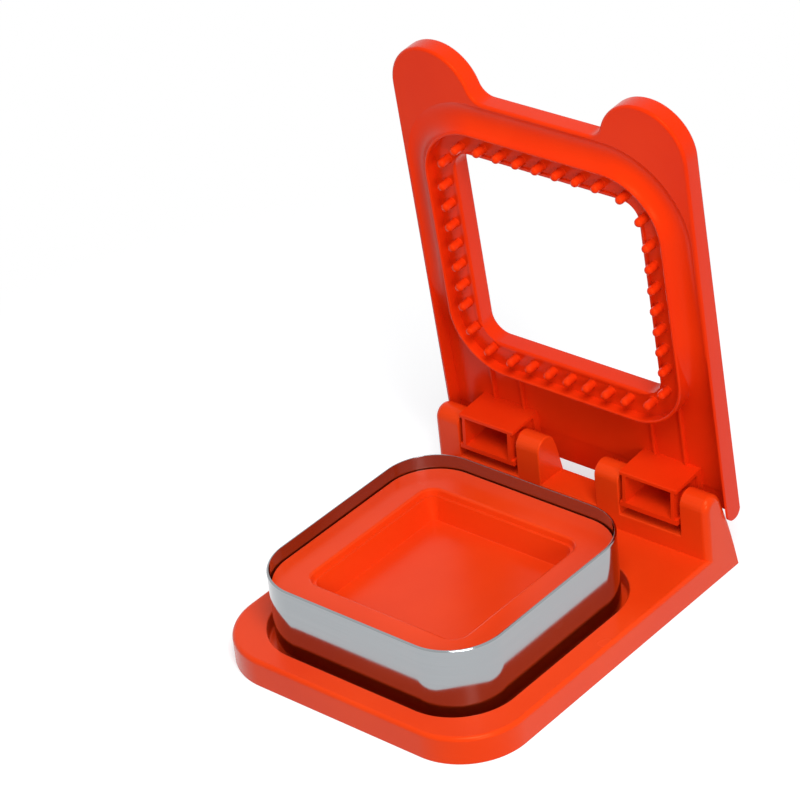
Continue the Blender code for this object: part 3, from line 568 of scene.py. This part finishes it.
# The platform inside the ring is ABS in the tray's painted lighter colour, moulded hollow: a flat land that
# the pegs press on round a dished middle, and four bosses beneath that take the screws.
land_top, platform_foot, dish_floor, dish_edge = 29.4, 6.4, 18.9, -17.6
shell_line = [(dish_edge, dish_floor), (-16.9, 19.0), (-16.3, 19.5), (-13.4, 28.9), (-12.9, 29.3)]
shell_line += [(-12.3, land_top), (-0.6, land_top), (-0.2, 29.25), (0, 28.9)]
shell_line += [(0, platform_foot), (-wall, platform_foot), (-wall, land_top - wall)]
shell_line += [(-15.0, land_top - wall), (dish_edge, dish_floor - wall)]
platform_half, platform_corner = 46.7, 19.0
boss, boss_top, pilot, pilot_top = 3.7, dish_floor - 1.0, 1.6, 15.6
platform = trace("platform", [(platform_half + d, ring_y, z) for d, z in shell_line])
run_round(platform, platform_half, platform_corner, ring_y, 24)


def dish_rim(a, b):
    """Accepts the open edges round the dish's floor, above or beneath it."""
    near = platform_half + dish_edge + 0.1
    return all(abs(p.x) < near and abs(p.y - ring_y) < near for p in (a, b))


for level in (dish_floor, dish_floor - wall):
    pick_edges(platform, lambda a, b: at_height(level)(a, b) and dish_rim(a, b))
    bpy.ops.mesh.edge_face_add()
    face_outwards()
for place in screw_places:
    combine(platform, rod("boss", boss, place, platform_foot, boss_top), "UNION")
    combine(platform, rod("pilot", pilot, place, platform_foot - 2, pilot_top), "DIFFERENCE")
settle(platform)
clad(platform, painted_lighter_abs, "base")
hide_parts("sealing_platform")

# The screws are M2.6 pan heads in bright zinc plate, driven up from beneath with a cross driver. Zinc plate
# is cooler and duller than the ring, and mottled at about 1 mm.
zinc_plate = new_material("bright_zinc_plate")
links = [("Vector", add_node(zinc_plate, "ShaderNodeTexCoord"), "Object")]
spangle = add_node(zinc_plate, "ShaderNodeTexNoise", links, in_Scale=900.0, in_Detail=2.0)
zinc_gloss = add_node(zinc_plate, "ShaderNodeMapRange", [("Value", spangle, "Fac")], in_3=0.28, in_4=0.42)
zinc_shader = add_node(
    zinc_plate,
    "ShaderNodeBsdfPrincipled",
    [("Roughness", zinc_gloss, 0)],
    in_Metallic=1.0,
    in_Base_Color=from_hex("9A9DA3"),
)
add_node(zinc_plate, "ShaderNodeOutputMaterial", [("Surface", zinc_shader, 0)])


def turn_round(piece, x, y, steps):
    """Turns an outline all the way round an upright axis."""
    work_on(piece)
    bpy.ops.object.mode_set(mode="EDIT")
    bpy.ops.mesh.select_all(action="SELECT")
    bpy.ops.mesh.spin(steps=steps, angle=math.radians(360), center=(x * MM, y * MM, 0), axis=(0, 0, 1))
    weld()


seat = moat_floor - wall - 0.3
shank, shank_top, head, head_rise, head_round = 1.3, 12.5, 2.75, 1.9, 0.7
cross_long, cross_wide, cross_floor = 1.8, 0.375, seat - 0.9
screw_line = [(0, shank_top), (shank / 2, shank_top), (shank, shank_top - shank), (shank, 0), (head, 0)]
screw_line += arc(head - head_round, head_round - head_rise, head_round, 0, -90, 4) + [(0, -head_rise)]
for name, (x, y) in zip(("front_left", "rear_left", "front_right", "rear_right"), screw_places):
    screw = trace("screw_" + name + "_turned", [(x + r, y, seat + z) for r, z in screw_line])
    turn_round(screw, x, y, 32)
    for long, wide in ((cross_long, cross_wide), (cross_wide, cross_long)):
        cross = block("cross", (x - long, y - wide, seat - 3), (x + long, y + wide, cross_floor))
        combine(screw, cross, "DIFFERENCE")
    settle(screw)
    clad(screw, zinc_plate, "base")
    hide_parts("screw_" + name)

# The lid is one ABS moulding 7.3 mm thick. It is drawn on its back with the hinge axis at the origin and the
# free end towards +Y, then turned up to where it rests. Two round ears stand at its free end.
face, lid_back = -3.8, -11.1
lid_half, lid_top, lid_tail = 61.2, 135.1, -10.6
window_y = 74.2
open_angle = math.radians(85.25)


def hang(piece):
    """Turns a piece from the drawing of the lid to where the lid rests on its hinge."""
    place = Matrix.Translation(Vector((0, hinge_y, hinge_z)) * MM)
    piece.data.transform(place @ Matrix.Rotation(math.pi - open_angle, 4, "X"))


ear, ear_drop, fillet = 17.3, 1.0, 6.0
run = math.sqrt((ear + fillet) ** 2 - (fillet + ear_drop) ** 2)
meet = math.degrees(math.atan2(fillet + ear_drop, -run))
ear_line = arc(lid_half - ear, lid_top - ear_drop, ear, 0, meet, 44)
ear_line += arc(lid_half - ear - run, lid_top + fillet, fillet, meet - 180, -90, 12)[1:]
lid_line = [(-lid_half, lid_tail), (lid_half, lid_tail)] + ear_line + [(-x, y) for x, y in reversed(ear_line)]
lid = trace("lid_plate", [(x, y, lid_back) for x, y in lid_line], (0, 0, face - lid_back))


def at_tail(a, b):
    """Accepts the two long edges at the lid's foot."""
    return max(a.y, b.y) < lid_tail + 0.01 and abs(a.x - b.x) > 50


# The foot has a round nose, and between the outer uprights a thin skin runs on below it at the lid's back.
nose_round, lid_rim = 3.4, 1.1
skin_half, skin_drop, skin_thick = 48, 3, 2
soften(lid, at_tail, nose_round, 7)
skin_foot = lid_tail - skin_drop
skin = block("foot_skin", (-skin_half, skin_foot, lid_back), (skin_half, lid_tail + 6, lid_back + skin_thick))
soften(skin, lambda a, b: max(a.y, b.y) < skin_foot + 1 and abs(a.x - b.x) > 50, 0.8, 4)
combine(lid, skin, "UNION")
for z in (face, lid_back):
    soften(lid, lambda a, b: at_height(z)(a, b) and max(a.y, b.y) > lid_tail + nose_round + 0.1, lid_rim, 4)

# The skirt that closes over the ring is a band raised on the face. Its rim is round, and outside it a hollow
# is swept down from the rim, a little below the face, and up to a crease just short of the lid's edge.
skirt_half, skirt_corner, skirt_rise, skirt_wall, skirt_spread = 48.9, 21.2, 3.25, 1.2, 9.0
rim_z = face + skirt_rise - skirt_wall / 2
skirt_line = [(0, face - 1.0), (skirt_spread, face - 1.0), (skirt_spread, face + 1.6), (skirt_wall, rim_z)]
skirt_line += arc(skirt_wall / 2, rim_z, skirt_wall / 2, 0, 180, 10)[1:]
skirt = trace("skirt", [(skirt_half + d, window_y, z) for d, z in skirt_line])
close_outline(skirt)
run_round(skirt, skirt_half, skirt_corner, window_y, 32)
combine(lid, skirt, "UNION")
sweep, sweep_d, sweep_z = 7.6, 7.6, face + 6.8
crease_d, lid_edge_d, clear = 11.0, 12.4, face + 6.0
sweep_start = math.degrees(math.atan2(rim_z - sweep_z, skirt_wall - sweep_d)) % 360
sweep_end = math.degrees(math.atan2(face - sweep_z, crease_d - sweep_d)) % 360
hollow_line = arc(sweep_d, sweep_z, sweep, sweep_start, sweep_end, 22)
hollow_line += [(lid_edge_d, face + 0.4), (lid_edge_d, clear)]
hollow_line += [(skirt_wall - 0.15, clear), (skirt_wall - 0.05, rim_z + 0.12)]
hollow = trace("hollow", [(skirt_half + d, window_y, z) for d, z in hollow_line])
close_outline(hollow)
run_round(hollow, skirt_half, skirt_corner, window_y, 32)
combine(lid, hollow, "DIFFERENCE")

# The window is cut with rounded lips. Between it and the skirt the face steps back to the pegs' channel.
window_half, window_corner, window_round = 38.8, 7.0, 0.9
window = rounded_block("window", window_half, window_corner, window_y, lid_back - 2, face + 2, 14)
combine(lid, window, "DIFFERENCE")


def window_lip(a, b):
    """Accepts the edges round the window on the lid's face and back."""
    flat = any(at_height(z)(a, b) for z in (face, lid_back))
    return flat and all(max(abs(p.x), abs(p.y - window_y)) < window_half + 0.02 for p in (a, b))


soften(lid, window_lip, window_round, 4)
channel_in, channel_z = 40.3, face - 0.6
channel_line = [(skirt_half, face + 2), (skirt_half, channel_z)]
channel_line += [(channel_in, channel_z), (channel_in, face + 2)]
channel = trace("channel", [(x, window_y, z) for x, z in channel_line])
close_outline(channel)
run_round(channel, skirt_half, skirt_corner, window_y, 32)
combine(lid, channel, "DIFFERENCE")

# Round the hinge the lid is sunk to a floor 2 mm thick, as far up as the skirt. A line crosses the floor
# just below the hinge axis, and the lid thins a little from there to its foot.
floor, fold_y = face - 5.3, -1.8
sunk_half, sunk_foot, sunk_top = 60.3, 26.0, 62.0
foot_line = [(lid_tail - 4, floor - 0.6), (fold_y, floor - 0.3), (fold_y, floor), (sunk_foot, floor)]
foot_line += [(sunk_foot, clear), (lid_tail - 4, clear)]
recess = trace("recess", [(-sunk_half, y, z) for y, z in foot_line], (2 * sunk_half, 0, 0))
keep_half, keep_corner = skirt_half + skirt_wall, skirt_corner + skirt_wall
keep = rounded_block("keep", keep_half, keep_corner, window_y, floor - 3, face + 8, 32)
combine(recess, keep, "DIFFERENCE")
combine(lid, recess, "DIFFERENCE")


def hollow_floor(x, y):
    """The hollow beside the skirt: the swept shape high up, and sinking evenly to the foot's flat floor."""
    corner_x, corner_y = skirt_half - skirt_corner, window_y - skirt_half + skirt_corner
    d = math.hypot(x - corner_x, min(0, y - corner_y)) - skirt_corner
    swept = sweep_z - math.sqrt(max(0, sweep**2 - (d - sweep_d) ** 2))
    share = min(1, max(0, (sunk_top - y) / (sunk_top - sunk_foot)))
    share = share * share * (3 - 2 * share)
    return swept + (floor - swept) * share


grid_foot = sunk_foot - 0.1
for side in (-1, 1):
    bpy.ops.object.select_all(action="DESELECT")
    bpy.ops.mesh.primitive_grid_add(x_subdivisions=26, y_subdivisions=30, size=1)
    slope = bpy.context.active_object
    slope.name = slope.data.name = "slope"
    bpy.ops.object.mode_set(mode="EDIT")
    bpy.ops.mesh.select_all(action="SELECT")
    bpy.ops.mesh.extrude_region_move(TRANSFORM_OT_translate={"value": (0, 0, 1)})
    bpy.ops.object.mode_set(mode="OBJECT")
    for vertex in slope.data.vertices:
        y = grid_foot + (vertex.co.y + 0.5) * (sunk_top - grid_foot)
        drop = min(0, y - window_y + skirt_half - skirt_corner)
        inner = skirt_half - skirt_corner + math.sqrt(keep_corner**2 - drop**2)
        x = inner + (vertex.co.x + 0.5) ** 1.6 * (sunk_half - inner)
        z = clear if vertex.co.z > 0.5 else hollow_floor(x, y)
        vertex.co = Vector((side * x, y, z)) * MM
    work_on(slope)
    bpy.ops.object.mode_set(mode="EDIT")
    face_outwards()
    combine(lid, slope, "DIFFERENCE")
settle(lid)
hang(lid)
clad(lid, red_abs, "lid")
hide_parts("lid")

# Thirty-six round pegs stand in the channel in one row: seven along each side and two across each corner.
# Their tips are domes.
peg, peg_tip, peg_root = 1.6, face + 4.5, face - 1.0
row_half, row_pitch, corner_far, corner_near = 43.1, 8.3, 41.5, 34.7
peg_line = [(0, peg_tip)] + arc(0, peg_tip - peg, peg, 78, 0, 6)
peg_line += [(peg, face - 0.35), (peg + 0.08, face - 0.5), (peg + 0.3, face - 0.62)]
peg_line += [(peg + 0.3, peg_root), (0, peg_root)]
first_peg = trace("lid_pegs", [(x, 0, z) for x, z in peg_line])
turn_round(first_peg, 0, 0, 24)
row = [(row_half, (i - 3) * row_pitch) for i in range(7)]
row += [(corner_far, corner_near), (corner_near, corner_far)]
peg_places = [Matrix.Rotation(math.radians(90 * k), 2) @ Vector(place) for k in range(4) for place in row]
pegs = []
for place in peg_places:
    work_on(first_peg)
    bpy.ops.object.duplicate(linked=False)
    copy = bpy.context.active_object
    copy.data.transform(Matrix.Translation(Vector((place.x, place.y + window_y, 0)) * MM))
    pegs.append(copy)
bpy.data.objects.remove(first_peg)
bpy.ops.object.select_all(action="DESELECT")
for copy in pegs:
    copy.select_set(True)
bpy.context.view_layer.objects.active = pegs[0]
bpy.ops.object.join()
pegs = bpy.context.active_object
pegs.name = "lid_pegs"
settle(pegs, 50)
hang(pegs)
clad(pegs, red_abs, "lid")

# The knuckles are boxes moulded on the lid's face, open to the front. Their top and bottom walls run past
# their side walls, and a stub axle stands out of each side wall into an upright.
root = floor - 0.4
knuckle_top, knuckle_foot, top_reach, foot_reach = 5.3, -8.6, face + 9.4, face + 11.4
hollow_top, hollow_foot, hollow_z = 4.0, -6.6, face - 2.5
side_slot, side_wall = 1.2, 1.3
knuckle_ends = 23.5, 47.8
axle_radius, axles = 1.8, ((25.35, 19.8), (45.95, 51.5))
knuckle_line = [(knuckle_foot, root), (knuckle_foot, foot_reach)]
knuckle_line += [(knuckle_top, top_reach), (knuckle_top, root)]
for side, name in ((-1, "left"), (1, "right")):
    start, end = sorted(side * x for x in knuckle_ends)
    knuckle = trace("knuckle_" + name, [(start, y, z) for y, z in knuckle_line], (end - start, 0, 0))
    soften(knuckle, lambda a, b: min(a.z, b.z) > top_reach - 0.1 and abs(a.x - b.x) > 1, 0.5, 3)
    inside = side_slot + side_wall
    slots = (start - 2, start + side_slot), (end - side_slot, end + 2)
    for low, high in (slots[0], (start + inside, end - inside), slots[1]):
        hollow = block("hollow", (low, hollow_foot, hollow_z), (high, hollow_top, face + 14))
        combine(knuckle, hollow, "DIFFERENCE")
    for axle_root, axle_tip in axles:
        combine(knuckle, cross_bar("axle", axle_radius, side * axle_root, side * axle_tip), "UNION")
    settle(knuckle)
    hang(knuckle)
    clad(knuckle, red_abs, "lid")

# Two thin ribs stiffen each knuckle: they run up the sunk floor from its top wall to the skirt.
strut, strut_foot, strut_z = 0.5, knuckle_top - 0.4, floor + 1.3
struts = ((28.9, 25.0, "inner"), (42.0, 30.5, "outer"))
for side, name in ((-1, "left"), (1, "right")):
    for along, top, place in struts:
        x = side * along
        rib = block("strut_" + name + "_" + place, (x - strut, strut_foot, root), (x + strut, top, strut_z))
        soften(rib, lambda a, b: at_height(strut_z)(a, b) and abs(a.y - b.y) > 1, 0.3, 2)
        settle(rib)
        hang(rib)
        clad(rib, red_abs, "lid")
